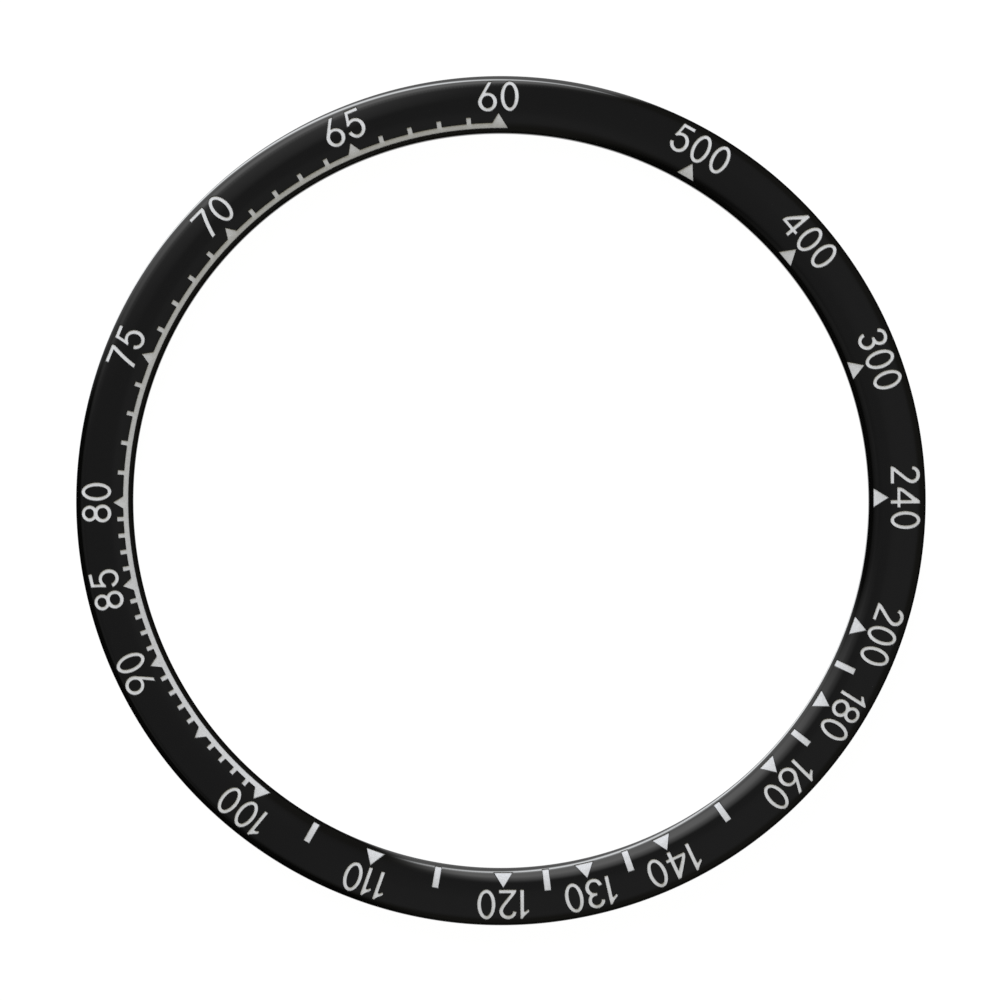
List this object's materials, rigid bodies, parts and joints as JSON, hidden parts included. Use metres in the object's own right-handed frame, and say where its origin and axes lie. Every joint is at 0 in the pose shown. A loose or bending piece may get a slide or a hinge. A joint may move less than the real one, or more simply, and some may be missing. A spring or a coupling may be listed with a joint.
{
  "type": "watch bezel insert ring",
  "caption": "Flat ceramic ring for a watch bezel: crowned polished face, rounded rims, and an engraved speed scale with inlaid numbers, pointers and bars, on an adhesive ring.",
  "frame": {"origin": "on the ring's axis, in the plane of the underside of the adhesive ring, where the insert sits on its seat", "axes": "+Z along the ring's axis, away from the watch, out of the engraved face; +Y from the axis to the 60 mark; +X to the 240 mark, clockwise as the wearer sees it"},
  "size_m": [0.0386, 0.0386, 0.0013],
  "materials": {
    "ceramic": "black zirconia ceramic, mirror polished",
    "inlay": "matt silver-grey metallic filling, fine grain",
    "adhesive": "translucent off-white double-sided adhesive film"
  },
  "bodies": {
    "root": {"insert_ring": "ceramic", "scale_rail": "inlay", "numeral_60": "inlay", "numeral_65": "inlay", "numeral_70": "inlay", "numeral_75": "inlay", "numeral_80": "inlay", "numeral_85": "inlay", "numeral_90": "inlay", "numeral_100": "inlay", "numeral_110": "inlay", "numeral_120": "inlay", "numeral_130": "inlay", "numeral_140": "inlay", "numeral_160": "inlay", "numeral_180": "inlay", "numeral_200": "inlay", "numeral_240": "inlay", "numeral_300": "inlay", "numeral_400": "inlay", "numeral_500": "inlay", "pointer_110": "inlay", "pointer_120": "inlay", "pointer_130": "inlay", "pointer_140": "inlay", "pointer_160": "inlay", "pointer_180": "inlay", "pointer_200": "inlay", "pointer_240": "inlay", "pointer_300": "inlay", "pointer_400": "inlay", "pointer_500": "inlay", "bar_105": "inlay", "bar_115": "inlay", "bar_125": "inlay", "bar_135": "inlay", "bar_150": "inlay", "bar_170": "inlay", "bar_190": "inlay", "adhesive_ring": "adhesive"}
  },
  "joints": []
}
